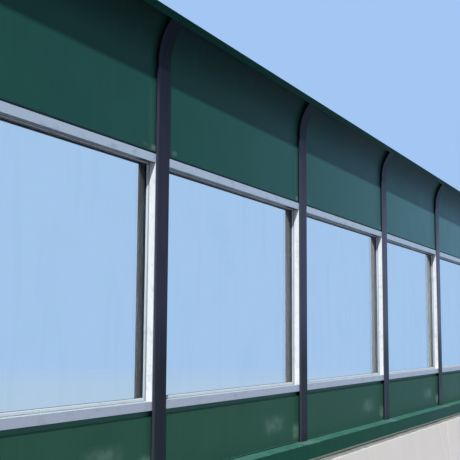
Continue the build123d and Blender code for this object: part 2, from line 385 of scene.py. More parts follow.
trimLook = {
    **sheetLook,
    "dark": (14, 62, 47),
    "light": (20, 72, 56),
    # Lighter along the wall as painted sky reflection; the cap high up in a painted shade tone
    "paintedShading": [("X", 2.5, 5.5, 1.0, (32, 72, 58)), ("Z", 3.2, 3.3, 0.85, (10, 64, 58))],
    "streakColour": (40, 86, 76),
    "scuffAndHighlightColour": (112, 124, 118),
    "rubClouds": (0.04, 3.0, 1.6),
    "dabs": [(0.05, 0.12, 0.94, 0.012, 0.8), (1.96, 0.07, 0.94, 0.012, 0.7)],
    "wear": 0.4,
    "edgeColour": (84, 128, 116),
    "dust": 1.0,
    "dustColour": (65, 106, 97),
    "shine": 0.02,
    "wave": 0.001,
}
postLook = {
    **sheetLook,
    "dark": (42, 42, 58),
    "light": (48, 48, 64),
    # Lighter along the wall as painted sky reflection, heads darkened as painted shade under the cap, darker
    # low down as painted ground reflection
    "paintedShading": [
        ("X", -3.4, 4.5, 1.0, (92, 98, 118)),
        ("Z", 2.45, 3.4, 0.9, (13, 20, 31)),
        ("Z", 1.9, 1.45, 0.9, (31, 36, 41)),
    ],
    # A painted highlight on the flange's sunlit left edge
    "paleStripsAndHighlights": [(0.056, 0.010, 0.006, 0.8)],
    "clouds": (0.3, 3.0, 1.6),
    "streaks": 0.25,
    "streakColour": (56, 58, 72),
    # Colour of that painted highlight
    "scuffAndHighlightColour": (58, 65, 75),
    "wear": 0.5,
    "edgeColour": (92, 96, 112),
    "dustColour": (110, 110, 106),
    "shine": 0.04,
    "wave": 0.0,
}
upperPaint = sheetPaint("upperPanelPaint", upperPanelLook)
lowerPaint = sheetPaint("lowerPanelPaint", lowerPanelLook)
trimPaint = sheetPaint("trimPaint", trimLook)
postPaint = sheetPaint("postPaint", postLook)

# Window frames: each kind of face has its light or shade painted into its colour, shaded road faces and
# soffits, sunlit sides; grime lies over that
frameLook = {
    # Road faces and bead fronts: painted shade and light, changing with height
    "paintedShadeUp": (1.37, 2.6),
    "roadFaceShadeLow": (162, 171, 190),
    "roadFaceShadeHigh": (166, 184, 204),
    "beadBegins": (-0.012, -0.009),
    "beadLightLow": (156, 165, 172),
    "beadLightHigh": (192, 203, 216),
    # A painted highlight on the top edge of the bottom rail's bead
    "beadFootHighlight": (176, 186, 190),
    "beadFootHighlightBelow": (1.372, 1.367),
    "beadFootHighlightAbove": (1.3605, 1.3625),
    # The top rail's bead painted light against the rail's shade
    "beadTopLight": (236, 240, 246),
    "beadTopLightAbove": (2.600, 2.604),
    # Side faces painted as sunlit, lighter still high up
    "sunnySide": (194, 195, 197),
    "sunnyTop": (209, 209, 212),
    "sunnyTopAbove": (2.25, 2.5),
    # Bead sides and the groove painted as shaded
    "beadSideShade": (140, 148, 155),
    "beadSideShadeBegins": (-0.0068, -0.0062),
    "groove": (118, 126, 136),
    "grooveAt": (-0.010, 0.0037, 0.0008),  # middle, half width, soft edge
    "sideTurned": (-0.8, -0.3),
    # Faces that look down painted as shaded
    "soffitShade": (72, 73, 86),
    "soffitTurned": (-0.3, -0.8),
    "ledge": (150, 163, 168),
    "ledgeTurned": (0.5, 0.9),
    "grime": (96, 104, 116),
    "blotchClouds": (0.05, 4.0, 1.6, (2.0, 1.0, 1.0)),
    "blotchShown": (0.5, 0.95, 0.0, 0.35),
    "speckClouds": (0.007, 2.0),
    "speckShown": (0.68, 0.76, 0.0, 0.7),
    "brushClouds": (0.0015, 1.0, 1.0, (60.0, 1.0, 1.0)),
    "brushDepth": 0.00001,
    "roughness": (0.31, 0.44),
    "shine": 0.5,
}


def frameRoadFace(tree, look, where):
    # The member's own face and the glazing bead's behind it, with painted shade and light that change with
    # height
    up = remap(tree, where["Z"], *look["paintedShadeUp"])
    roadFace = blendColours(tree, up, look["roadFaceShadeLow"], look["roadFaceShadeHigh"])
    beadFace = blendColours(tree, up, look["beadLightLow"], look["beadLightHigh"])
    aboveFoot = remap(tree, where["Z"], *look["beadFootHighlightAbove"])
    belowFoot = remap(tree, where["Z"], *look["beadFootHighlightBelow"])
    beadFace = blendColours(tree, multiply(tree, aboveFoot, belowFoot), beadFace, look["beadFootHighlight"])
    beadFace = blendColours(tree, remap(tree, where["Z"], *look["beadTopLightAbove"]), beadFace, look["beadTopLight"])
    return blendColours(tree, remap(tree, where["Y"], *look["beadBegins"]), roadFace, beadFace)


def frameSideFace(tree, look, where):
    # Side faces painted as sunlit; bead sides and the groove painted as shaded
    highUp = remap(tree, where["Z"], *look["sunnyTopAbove"])
    sideFace = blendColours(tree, highUp, look["sunnySide"], look["sunnyTop"])
    onBead = remap(tree, where["Y"], *look["beadSideShadeBegins"])
    sideFace = blendColours(tree, onBead, sideFace, look["beadSideShade"])
    return blendColours(tree, nearTo(tree, where["Y"], *look["grooveAt"]), sideFace, look["groove"])


def frameFinish(look):
    inputs = {"Metallic": 0.0, "Specular IOR Level": look["shine"]}
    material, tree, shader = newMaterial("frameFinish", inputs)
    where = splitVector(tree, objectPlace(tree))
    turned = splitVector(tree, faceNormal(tree))
    roadFace = frameRoadFace(tree, look, where)
    sideFace = frameSideFace(tree, look, where)
    colour = blendColours(tree, remap(tree, turned["Y"], *look["sideTurned"]), roadFace, sideFace)
    # Faces that look down painted as shaded
    colour = blendColours(tree, remap(tree, turned["Z"], *look["soffitTurned"]), colour, look["soffitShade"])
    colour = blendColours(tree, remap(tree, turned["Z"], *look["ledgeTurned"]), colour, look["ledge"])
    blotches = clouds(tree, *look["blotchClouds"])
    colour = blendColours(tree, remap(tree, blotches, *look["blotchShown"]), colour, look["grime"])
    specks = remap(tree, clouds(tree, *look["speckClouds"]), *look["speckShown"])
    brushed = clouds(tree, *look["brushClouds"])
    finish = {
        "Base Color": blendColours(tree, specks, colour, look["grime"]),
        "Roughness": remap(tree, blotches, 0.0, 1.0, *look["roughness"]),
        "Normal": bumpFrom(tree, multiply(tree, brushed, look["brushDepth"])),
    }
    fillInputs(tree, shader, finish)
    return material


framePaint = frameFinish(frameLook)

# Panes with a thin film of road dust
glassLook = {
    "clear": (255, 254, 246),
    "film": (246, 247, 240),
    "filmRoughness": 0.004,
    "filmShown": (0.45, 1.0, 0.0, 0.8),
    "patchClouds": (0.5, 4.0, 1.6),
    "streaks": {"Width": 0.09, "Length": 0.7, "Amount": 0.5},
    "refraction": 1.28,
    "shadow": (0.75, 0.84, 0.84, 1.0),  # linear
}


def paneFinish(look):
    inputs = {"Metallic": 0.0, "Transmission Weight": 1.0, "IOR": look["refraction"]}
    material, tree, shader = newMaterial("paneGlass", inputs)
    patches = remap(tree, clouds(tree, *look["patchClouds"]), *look["filmShown"])
    film = calc(tree, "MAXIMUM", useGroup(tree, streakGroup, look["streaks"]), patches)
    finish = {
        "Base Color": blendColours(tree, film, look["clear"], look["film"]),
        "Roughness": multiply(tree, film, look["filmRoughness"]),
    }
    fillInputs(tree, shader, finish)
    # Light passes the pane without a black shadow
    clearForShadow = addNode(tree, "ShaderNodeBsdfTransparent", {"Color": look["shadow"]})[0]
    isShadow = addNode(tree, "ShaderNodeLightPath", {})["Is Shadow Ray"]
    mixed = addNode(tree, "ShaderNodeMixShader", {0: isShadow, 1: shader.outputs[0], 2: clearForShadow})[0]
    tree.links.new(mixed, tree.nodes["Material Output"].inputs["Surface"])
    return material


paneGlass = paneFinish(glassLook)


# Rubber, filler, sealant and zinc
def plainStuff(name, look):
    inputs = {"Metallic": look["metal"], "Specular IOR Level": look["shine"]}
    material, tree, shader = newMaterial(name, inputs)
    cloudy = clouds(tree, *look["clouds"])
    colour = blendColours(tree, cloudy, look["dark"], look["light"])
    dust = useGroup(tree, dustGroup, {"Amount": look["dust"]})
    grain = clouds(tree, *look["grainClouds"])
    finish = {
        "Base Color": blendColours(tree, dust, colour, look["dustColour"]),
        "Roughness": remap(tree, grain, 0.0, 1.0, *look["roughness"]),
        "Normal": bumpFrom(tree, multiply(tree, grain, look["relief"])),
    }
    fillInputs(tree, shader, finish)
    return material


rubberLook = {
    "dark": (6, 14, 20),
    "light": (14, 24, 32),
    "dustColour": (52, 58, 58),
    "shine": 0.12,
    "dust": 0.4,
    "metal": 0.0,
    "clouds": (0.05, 4.0, 1.8),
    "grainClouds": (0.002, 2.0),
    "relief": 0.0002,
    "roughness": (0.58, 0.74),
}
fillerLook = {
    **rubberLook,
    "dark": (38, 36, 33),
    "light": (66, 62, 57),
    "roughness": (0.77, 0.93),
    "relief": 0.0008,
}
sealantLook = {
    **rubberLook,
    "dark": (30, 66, 56),
    "light": (44, 82, 70),
    "dustColour": (58, 96, 84),
}
zincLook = {
    **rubberLook,
    "dark": (104, 106, 108),
    "light": (150, 152, 152),
    "dustColour": (116, 98, 78),
    "shine": 0.5,
    "metal": 0.8,
    "clouds": (0.008, 4.0, 1.8),
    "roughness": (0.42, 0.58),
}
sealRubber = plainStuff("sealRubber", rubberLook)
jointFiller = plainStuff("jointFiller", fillerLook)
sealant = plainStuff("sealant", sealantLook)
zincPlate = plainStuff("zincPlate", zincLook)


# Cast concrete and the mortar bed on it
def limeMarks(tree, look, where):
    # Runs of lime down the face, and one that bends aside on its way down
    runs = useGroup(tree, streakGroup, look["limeRuns"])
    bentAside = remap(tree, where["Z"], *look["limeBend"])
    wander = multiply(tree, clouds(tree, *look["wanderClouds"]), look["limeWander"])
    fromRun = calc(tree, "ADD", calc(tree, "SUBTRACT", where["X"], bentAside), wander)
    oneRun = nearTo(tree, fromRun, *look["limeAt"])
    return calc(tree, "MAXIMUM", runs, multiply(tree, oneRun, look["limeStrength"]))


def ledgeGrimeAndShade(tree, colour, look, where):
    # Grime and painted shade lie on the top face, darkest towards its middle
    grime = useGroup(tree, dustGroup, {"Amount": look["topGrimeAndShade"], "Steepest": look["grimeSteepest"]})
    colour = blendColours(tree, grime, colour, look["ledgeColour"])
    fromMiddle = calc(tree, "ABSOLUTE", calc(tree, "SUBTRACT", where["Y"], look["ledgeMiddle"]))
    middleGrimeAndShade = multiply(tree, grime, remap(tree, fromMiddle, *look["ledgeHalf"]))
    return blendColours(tree, middleGrimeAndShade, colour, look["grimeAndShadeColour"])


def cementLike(name, look):
    material, tree, shader = newMaterial(name, {"Metallic": 0.0, "Specular IOR Level": look["shine"]})
    where = splitVector(tree, objectPlace(tree))
    cloudy = clouds(tree, *look["clouds"])
    colour = blendColours(tree, cloudy, look["dark"], look["light"])
    # A band near the top with painted light; on the mortar it lifts the upper face that the sill shades
    litBandHeight = remap(tree, where["Z"], *look["paintedLightBandFrom"])
    litBand = multiply(tree, litBandHeight, remap(tree, where["Y"], *look["paintedLightBandSide"]))
    colour = blendColours(tree, litBand, colour, look["paintedLightBandColour"])
    colour = blendColours(tree, remap(tree, where["Z"], *look["splashed"]), colour, look["splashColour"])
    grain = clouds(tree, *look["grainClouds"])
    colour = blendColours(tree, remap(tree, grain, *look["grainShown"]), colour, look["streakColour"])
    streaks = useGroup(tree, streakGroup, look["streaks"])
    colour = blendColours(tree, streaks, colour, look["streakColour"])
    colour = blendColours(tree, limeMarks(tree, look, where), colour, look["limeColour"])
    colour = ledgeGrimeAndShade(tree, colour, look, where)
    wear = useGroup(tree, wearGroup, {"Width": look["wearWidth"], "Amount": look["wear"]})
    colour = blendColours(tree, wear, colour, look["wearColour"])
    cellInputs = {"Vector": objectPlace(tree), "Scale": look["holesPerMetre"]}
    cells = addNode(tree, "ShaderNodeTexVoronoi", cellInputs)["Distance"]
    holes = remap(tree, cells, look["holeSize"], look["holeSize"] * 0.5)
    relief = multiply(tree, grain, look["relief"])
    relief = calc(tree, "SUBTRACT", relief, multiply(tree, holes, look["holeDepth"]))
    darkHoles = multiply(tree, holes, look["holeDarkness"])
    finish = {
        "Base Color": blendColours(tree, darkHoles, colour, look["holeColour"]),
        "Roughness": remap(tree, grain, 0.0, 1.0, *look["roughness"]),
        "Normal": bumpFrom(tree, relief),
    }
    fillInputs(tree, shader, finish)
    return material


concreteLook = {
    "dark": (202, 199, 197),
    "light": (212, 208, 208),
    "clouds": (0.9, 3.0, 1.3),
    "paintedLightBandColour": (206, 207, 203),
    "paintedLightBandFrom": (0.77, 0.8),
    "paintedLightBandSide": (1.0, 0.9),
    "splashColour": (164, 160, 153),
    "splashed": (0.36, 0.24, 0.0, 0.85),
    "grainClouds": (0.012, 4.0, 1.6),
    "grainShown": (0.3, 0.8, 0.0, 0.14),
    "streakColour": (188, 185, 180),
    "streaks": {"Width": 0.05, "Length": 0.5, "Amount": 0.1},
    "limeColour": (222, 215, 200),
    "limeRuns": {"Width": 0.16, "Length": 1.4, "Amount": 0.2},
    "limeStrength": 0.75,
    "limeBend": (0.64, 0.42, 2.352, 2.5),  # height above and below the bend, x above and below it
    "limeAt": (0.015, 0.02, 0.016),  # middle, half width, soft edge
    "wanderClouds": (0.12, 2.0),
    "limeWander": 0.03,
    # Grime with painted shade on the top face, darkest towards its middle
    "topGrimeAndShade": 1.1,
    "grimeSteepest": 0.5,
    "ledgeColour": (150, 151, 148),
    "ledgeMiddle": -0.025,
    "ledgeHalf": (0.179, 0.158),
    "grimeAndShadeColour": (96, 97, 93),
    "wear": 0.35,
    "wearWidth": 0.01,
    "wearColour": (186, 186, 183),
    "holeColour": (150, 147, 142),
    "holesPerMetre": 14.0,
    "holeSize": 0.045,
    "holeDepth": 0.002,
    "holeDarkness": 0.6,
    "relief": 0.0004,
    "roughness": (0.82, 0.96),
    "shine": 0.2,
}
mortarLook = {
    **concreteLook,
    "dark": (92, 94, 92),
    "light": (120, 121, 116),
    "clouds": (0.12, 3.0, 1.3),
    # The upper face, shaded by the sill, painted light
    "paintedLightBandColour": (222, 240, 224),
    "paintedLightBandFrom": (0.814, 0.822),
    "paintedLightBandSide": (-0.10, -0.13),
    "grainShown": (0.3, 0.8, 0.0, 0.45),
    "streakColour": (74, 78, 78),
    "limeColour": (160, 160, 152),
    "limeStrength": 0.0,
    "topGrimeAndShade": 0.5,
    "wearColour": (140, 142, 136),
    "holeColour": (50, 52, 54),
    "relief": 0.003,
}
concrete = cementLike("castConcrete", concreteLook)
mortar = cementLike("mortarBed", mortarLook)
print("materials ready")


def dress(names, material, smoothUnder=None):
    for name in names:
        mesh = nodes[name].data
        mesh.materials.clear()
        mesh.materials.append(material)
        if smoothUnder:
            mesh.shade_smooth()
            mesh.set_sharp_from_angle(angle=math.radians(smoothUnder))


dress([f"parapet_{i}" for i in (1, 2, 3)], concrete)
dress(["mortar_bed"], mortar)
dress(["joint_fillers"], jointFiller)
dress([f"post_{i}" for i in postNumbers], postPaint, 20)
dress([f"upper_panel_{i}" for i in bayNumbers], upperPaint, 20)
dress([f"lower_panel_{i}" for i in bayNumbers], lowerPaint, 50)
dress([f"top_cap_{i}" for i in bayNumbers], trimPaint)
dress([f"sill_flashing_{i}" for i in bayNumbers], trimPaint)
dress([f"window_frame_{i}" for i in bayNumbers], framePaint)
dress([f"pane_{i}" for i in bayNumbers], paneGlass)
dress(["rail_seals", "front_seals", "rear_seals"], sealRubber, 20)
print("frame dressed")


# Mesh helpers
def finishPiece(mesh, name, material, smoothUnder):
    bmesh.ops.recalc_face_normals(mesh, faces=mesh.faces)
    data = bpy.data.meshes.new(name)
    mesh.to_mesh(data)
    mesh.free()
    data.materials.append(material)
    data.shade_smooth()
    data.set_sharp_from_angle(angle=math.radians(smoothUnder))
    piece = bpy.data.objects.new(name, data)
    bpy.context.scene.collection.objects.link(piece)
    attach(piece, "root")


def joinRings(mesh, rings, capped=True):
    # A skin over rings of points that all have the same count
    rows = [[mesh.verts.new(point) for point in ring] for ring in rings]
    count = len(rows[0])
    for low, high in zip(rows, rows[1:]):
        for i in range(count):
            j = (i + 1) % count
            mesh.faces.new((low[i], low[j], high[j], high[i]))
    if capped:
        mesh.faces.new(list(reversed(rows[0])))
        mesh.faces.new(rows[-1])


def turnShape(mesh, centre, axis, profile, sides):
    # profile: radius and height of each ring; the axis never points along the wall
    axis = Vector(axis)
    across = axis.cross(Vector((1, 0, 0))).normalized()
    up = axis.cross(across)
    turns = [2 * math.pi * i / sides for i in range(sides)]
    spokes = [across * math.cos(turn) + up * math.sin(turn) for turn in turns]
    rings = [[centre + spoke * radius + axis * rise for spoke in spokes] for radius, rise in profile]
    joinRings(mesh, rings)


def aroundPoint(centre, radius, angle, rise):
    return centre + Vector((radius * math.cos(angle), radius * math.sin(angle), rise))


def bendPoint(x, face, turn, along=0.0):
    # A point of the bent head: face is its y below the bend, along is how far it lies beyond the arc
    radius = face - bend["centre"]
    y = bend["centre"] + radius * math.cos(turn) - along * math.sin(turn)
    z = bend["height"] + radius * math.sin(turn) + along * math.cos(turn)
    return Vector((x, y, z))


# Rubber round each pane, in front of it and behind it; profiles: how far in from the bead, and y
glazing = {
    "sideBead": 0.0563,
    "sillBead": 0.0653,
    "rearLip": 0.056,
    "frontProfile": [
        (-0.0070, 0.0026),
        (0.0004, 0.0026),
        (0.0016, 0.0031),
        (0.0019, 0.0037),
        (0.0010, 0.0044),
        (-0.0070, 0.0044),
    ],
    "rearProfile": [
        (-0.0070, 0.0126),
        (0.0012, 0.0126),
        (0.0022, 0.0134),
        (0.0022, 0.0292),
        (0.0002, 0.0292),
        (0.0002, 0.0134),
        (-0.0070, 0.0134),
    ],
}


def windowRing(mesh, left, right, bottom, top, profile):
    corners = [(left, bottom, 1, 1), (right, bottom, -1, 1), (right, top, -1, -1), (left, top, 1, -1)]
    rings = []
    for x, z, inX, inZ in corners:
        rings.append([Vector((x + inX * inward, y, z + inZ * inward)) for inward, y in profile])
    joinRings(mesh, [*rings, rings[0]], capped=False)
    bmesh.ops.remove_doubles(mesh, verts=mesh.verts, dist=1e-6)


def addGlazingRubber(settings):
    side, low, lip = settings["sideBead"], settings["sillBead"], settings["rearLip"]
    for bay in bayNumbers:
        lowCorner, highCorner = nodeBox(f"window_frame_{bay}")
        left, right = lowCorner[0], highCorner[0]
        bottom, top = lowCorner[2], highCorner[2]
        mesh = bmesh.new()
        windowRing(mesh, left + side, right - side, bottom + low, top - side, settings["frontProfile"])
        windowRing(mesh, left + lip, right - lip, bottom + lip, top - lip, settings["rearProfile"])
        finishPiece(mesh, f"glazing_rubber_{bay}", sealRubber, 35)


addGlazingRubber(glazing)

# Rubber lip that closes the gap between each window frame and the panel above it; outline: y and z
railLip = {
    "endGap": 0.0165,
    "outline": [
        (-0.0380, 2.6703),
        (-0.0435, 2.6703),
        (-0.0445, 2.6715),
        (-0.0430, 2.6760),
        (-0.0405, 2.6835),
        (-0.0385, 2.6862),
        (-0.0378, 2.6850),
    ],
}


def addRailLips(settings):
    for bay, (before, after) in enumerate(bays, 1):
        mesh = bmesh.new()
        ends = (before + settings["endGap"], after - settings["endGap"])
        joinRings(mesh, [[Vector((x, y, z)) for y, z in settings["outline"]] for x in ends])
        finishPiece(mesh, f"rail_lip_{bay}", sealRubber, 50)


addRailLips(railLip)
print("glazing rubber done")

# Anchors that hold the base plates down
anchor = {
    "spread": 0.095,
    "studRadius": 0.010,
    "studRise": 0.052,
    "studSides": 16,
    "threadPitch": 0.0025,
    "threadDepth": 0.0012,
    "stepsPerTurn": 4,
    "tipShare": 0.75,
    "tipRise": 0.0012,
    "nutAcross": 0.030,
    "nutHeight": 0.016,
    "nutChamfer": 0.0014,
    "nutFace": 1.01,  # share of the flats' half width
    "nutBore": 0.72,
    "nutSides": 36,
    "washerRadius": 0.0185,
    "washerHeight": 0.003,
    "washerEdge": 0.0005,
    "washerSides": 32,
}


def addStud(mesh, foot, settings, spin):
    # Rings climb the stud, and a groove winds round it one pitch a turn
    sides, stepsPerTurn = settings["studSides"], settings["stepsPerTurn"]
    step = settings["threadPitch"] / stepsPerTurn
    angles = [2 * math.pi * i / sides + spin for i in range(sides)]
    rings = []
    for level in range(int(settings["studRise"] / step) + 1):
        ring = []
        for i, angle in enumerate(angles):
            phase = (level / stepsPerTurn - i / sides) % 1.0
            radius = settings["studRadius"] - settings["threadDepth"] * abs(2 * phase - 1)
            ring.append(aroundPoint(foot, radius, angle, level * step))
        rings.append(ring)
    tipRadius = settings["studRadius"] * settings["tipShare"]
    tipHeight = settings["studRise"] + settings["tipRise"]
    rings.append([aroundPoint(foot, tipRadius, angle, tipHeight) for angle in angles])
    joinRings(mesh, rings)


def addNut(mesh, foot, settings, spin):
    sides, height, chamfer = settings["nutSides"], settings["nutHeight"], settings["nutChamfer"]
    flat = settings["nutAcross"] / 2
    corner = flat / math.cos(math.radians(30))
    face, bore = flat * settings["nutFace"], flat * settings["nutBore"]
    levels = [(0.0, face), (chamfer, corner), (height - chamfer, corner), (height, face), (height, bore)]
    rings = []
    for rise, limit in levels:
        ring = []
        for i in range(sides):
            angle = 2 * math.pi * i / sides
            offFlat = math.radians(((math.degrees(angle) + 30) % 60) - 30)
            radius = min(flat / math.cos(offFlat), limit)
            ring.append(aroundPoint(foot, radius, angle + spin, rise))
        rings.append(ring)
    joinRings(mesh, rings)


def addWasher(mesh, foot, settings):
    outer, thick, edge = settings["washerRadius"], settings["washerHeight"], settings["washerEdge"]
    profile = [(outer - edge, 0.0), (outer, edge), (outer, thick - edge), (outer - edge, thick)]
    turnShape(mesh, foot, (0, 0, 1), profile, settings["washerSides"])


def addAnchors(settings):
    chance = random.Random(4)
    for number, x in enumerate(postPlaces, 1):
        mesh = bmesh.new()
        for sideX in (-1, 1):
            for sideY in (-1, 1):
                foot = Vector((x + sideX * settings["spread"], sideY * settings["spread"], post["plateTop"]))
                spin = chance.uniform(0, 6)
                addWasher(mesh, foot, settings)
                addNut(mesh, foot + Vector((0, 0, settings["washerHeight"])), settings, spin)
                addStud(mesh, foot, settings, spin)
        finishPiece(mesh, f"anchors_{number}", zincPlate, 25)


addAnchors(anchor)
print("anchors done")

# Weld beads where the posts' plates meet; section: shares of the leg along each of the two faces
weld = {
    "leg": 0.006,
    "step": 0.004,
    "stiffenerLeg": 0.0048,
    "stiffenerRise": 0.086,
    "longLeg": 0.005,
    "longStep": 0.006,
    "longFootGap": 0.008,
    "longHeadGap": 0.003,
    "ripple": 0.10,
    "rippleTurn": 2.1,
    "uneven": 0.05,
    "endShare": 0.55,
    "section": [(-0.03, -0.03), (1.0, 0.0), (0.72, 0.42), (0.42, 0.72), (0.0, 1.0)],
}


def addWeld(mesh, path, sideA, sideB, leg, chance):
    # path: points along the corner; sideA and sideB give the two faces' directions at each point
    rings = []
    for i, point in enumerate(path):
        uneven = chance.uniform(-weld["uneven"], weld["uneven"])
        size = leg * (1 + weld["ripple"] * math.sin(i * weld["rippleTurn"]) + uneven)
        if i in (0, len(path) - 1):
            size *= weld["endShare"]
        rings.append([point + sideA[i] * (size * a) + sideB[i] * (size * b) for a, b in weld["section"]])
    joinRings(mesh, rings)


def straightWeld(mesh, start, end, sideA, sideB, leg, chance):
    start, end = Vector(start), Vector(end)
    count = max(3, int((end - start).length / weld["step"]))
    path = [start.lerp(end, i / count) for i in range(count + 1)]
    addWeld(mesh, path, [Vector(sideA)] * len(path), [Vector(sideB)] * len(path), leg, chance)


def baseWeldRuns(x):
    # Start, end, the two faces' directions and the leg of each weld on a base plate
    z, leg, finLeg = post["plateTop"], weld["leg"], weld["stiffenerLeg"]
    up = (0, 0, 1)
    runs = []
    for side in (-1, 1):
        outer, inner = side * post["halfWidth"], side * post["flangeInside"]
        outward, inward = (0, side, 0), (0, -side, 0)
        for end in (-1, 1):
            along = (end, 0, 0)
            fin = x + end * post["stiffenerSide"]
            fromFin = x + end * (post["stiffenerSide"] + leg)
            fromWeb = x + end * (post["webSide"] + leg)
            toEdge = x + end * post["halfWidth"]
            finEnd = side * post["stiffenerReach"]
            finTop = z + weld["stiffenerRise"]
            runs += [
                ((fromFin, outer, z), (toEdge, outer, z), outward, up, leg),
                ((fromWeb, inner, z), (toEdge, inner, z), inward, up, leg),
                ((toEdge, inner, z), (toEdge, outer, z), along, up, leg),
                ((fin, outer, z), (fin, finEnd, z), along, up, finLeg),
                ((fin, outer, z), (fin, outer, finTop), along, outward, finLeg),
            ]
    for end in (-1, 1):
        web = x + end * post["webSide"]
        runs.append(((web, -post["flangeInside"], z), (web, post["flangeInside"], z), (end, 0, 0), up, leg))
    return runs


def channelCorner(x, side):
    # The corner of web and flange, from the base plate up round the bend, and the flange's direction there
    step, face = weld["longStep"], side * post["flangeInside"]
    foot = post["plateTop"] + weld["longFootGap"]
    corner = [(Vector((x, face, foot + i * step)), 0.0) for i in range(int((bend["height"] - foot) / step))]
    arcSteps = int((face - bend["centre"]) * bend["angle"] / step)
    for i in range(arcSteps + 1):
        turn = bend["angle"] * i / arcSteps
        corner.append((bendPoint(x, face, turn), turn))
    for i in range(1, int((bend["head"] - weld["longHeadGap"]) / step)):
        corner.append((bendPoint(x, face, bend["angle"], i * step), bend["angle"]))
    path = [point for point, turn in corner]
    across = [Vector((0, -side * math.cos(turn), -side * math.sin(turn))) for point, turn in corner]
    return path, across


def addPostWelds():
    chance = random.Random(9)
    for number, x in enumerate(postPlaces, 1):
        mesh = bmesh.new()
        for run in baseWeldRuns(x):
            straightWeld(mesh, *run, chance)
        finishPiece(mesh, f"base_welds_{number}", postPaint, 60)

    # The open channels of the two end posts show the long welds between web and flanges
    for name, x, end in (("left", postPlaces[0], -1), ("right", postPlaces[-1], 1)):
        mesh = bmesh.new()
        for side in (-1, 1):
            path, across = channelCorner(x + end * post["webSide"], side)
            addWeld(mesh, path, [Vector((end, 0, 0))] * len(path), across, weld["longLeg"], chance)
        finishPiece(mesh, f"{name}_post_welds", postPaint, 60)


addPostWelds()
print("welds done")

# Rivets that hold the cap to the panels; dome: shares of the radius and of the rise
capRivet = {
    "faceOffset": 0.067,
    "alongHead": 0.047,
    "radius": 0.0055,
    "rise": 0.0024,
    "sunk": 0.0002,
    "dome": [(1.0, 0.3), (0.86, 0.72), (0.5, 1.0), (0.3, 1.0), (0.24, 0.7)],
    "sides": 16,
    "places": (0.08, 0.54, 1.0, 1.46, 1.92),
}


def addCapRivets(settings):
    turn, radius = bend["angle"], settings["radius"]
    profile = [(radius, -settings["sunk"])]
    profile += [(radius * share, settings["rise"] * riseShare) for share, riseShare in settings["dome"]]
    for bay, start in enumerate(postPlaces[:-1], 1):
        mesh = bmesh.new()
        for offset in settings["places"]:
            for side in (-1, 1):
                foot = bendPoint(start + offset, side * settings["faceOffset"], turn, settings["alongHead"])
                outward = (0, side * math.cos(turn), side * math.sin(turn))
                turnShape(mesh, foot, outward, profile, settings["sides"])
        finishPiece(mesh, f"cap_rivets_{bay}", trimPaint, 50)


addCapRivets(capRivet)
print("cap rivets done")

# Sealant: on the sill's rear edge and round the posts' flanges
sealantRun = {
    "sides": 8,
    "endShare": 0.5,
    "wobble": 0.18,
    "edgeRadius": 0.0035,
    "edgeStep": 0.02,
    "edgeY": -0.0392,
    "notch": 0.0648,
    "flangeRadius": 0.0026,
    "flangeStep": 0.008,
    "flangeGap": 0.0632,
    "flangeRear": -0.0440,
    "flangeFront": -0.0634,
    "lift": 0.0004,
}
sillLow, sillHigh = nodeBox("sill_flashing_1")
sill = {
    "frontY": sillLow[1],
    "frontTop": 0.9373,
    "rearY": -0.0408,
    "rearTop": 0.9403,
    "upstandTop": sillHigh[2],
}


def sillTopAt(y):
    # The sill's top falls towards the road
    share = (y - sill["frontY"]) / (sill["rearY"] - sill["frontY"])
    return sill["frontTop"] + share * (sill["rearTop"] - sill["frontTop"])


def addRun(mesh, corners, radius, step, chance):
    # A squeezed bead that follows the corners
    sides, wobble = sealantRun["sides"], sealantRun["wobble"]
    path = []
    for start, end in zip(corners, corners[1:]):
        count = max(1, int((end - start).length / step))
        path += [start.lerp(end, i / count) for i in range(count)]
    path.append(corners[-1])
    last = len(path) - 1
    angles = [2 * math.pi * k / sides for k in range(sides)]
    rings = []
    for i, point in enumerate(path):
        ahead = (path[min(i + 1, last)] - path[max(i - 1, 0)]).normalized()
        side = Vector((0, 0, 1)).cross(ahead).normalized()
        up = ahead.cross(side).normalized()
        size = radius * (1 + chance.uniform(-wobble, wobble))
        if i in (0, last):
            size *= sealantRun["endShare"]
        rings.append([point + side * (size * math.cos(a)) + up * (size * math.sin(a)) for a in angles])
    joinRings(mesh, rings)


def addSillSealant(settings):
    chance = random.Random(21)
    for bay, (before, after) in enumerate(bays, 1):
        mesh = bmesh.new()
        ends = (before + settings["notch"], after - settings["notch"])
        corners = [Vector((x, settings["edgeY"], sill["upstandTop"])) for x in ends]
        addRun(mesh, corners, settings["edgeRadius"], settings["edgeStep"], chance)
        finishPiece(mesh, f"sill_sealant_{bay}", sealant, 60)
    for number, x in enumerate(postPlaces, 1):
        mesh = bmesh.new()
        left, right = x - settings["flangeGap"], x + settings["flangeGap"]
        rear, front = settings["flangeRear"], settings["flangeFront"]
        route = [(left, rear), (left, front), (right, front), (right, rear)]
        corners = [Vector((px, py, sillTopAt(py) + settings["lift"])) for px, py in route]
        addRun(mesh, corners, settings["flangeRadius"], settings["flangeStep"], chance)
        finishPiece(mesh, f"post_sealant_{number}", sealant, 60)


addSillSealant(sealantRun)
print("sealant done")

# Mortar that squeezed out along the foot of the bed; section: shares of the reach and of the rise
squeeze = {
    "reach": 0.012,
    "rise": 0.010,
    "step": 0.012,
    "endGap": 0.005,
    "pocket": 0.131,
    "drift": 0.16,
    "least": 0.15,
    "uneven": (0.8, 1.2),
    "lowest": 0.35,
    "lift": 0.0001,
    "root": 0.001,
    "section": [(1.0, 0.0), (0.8, 0.38), (0.35, 0.62)],
}


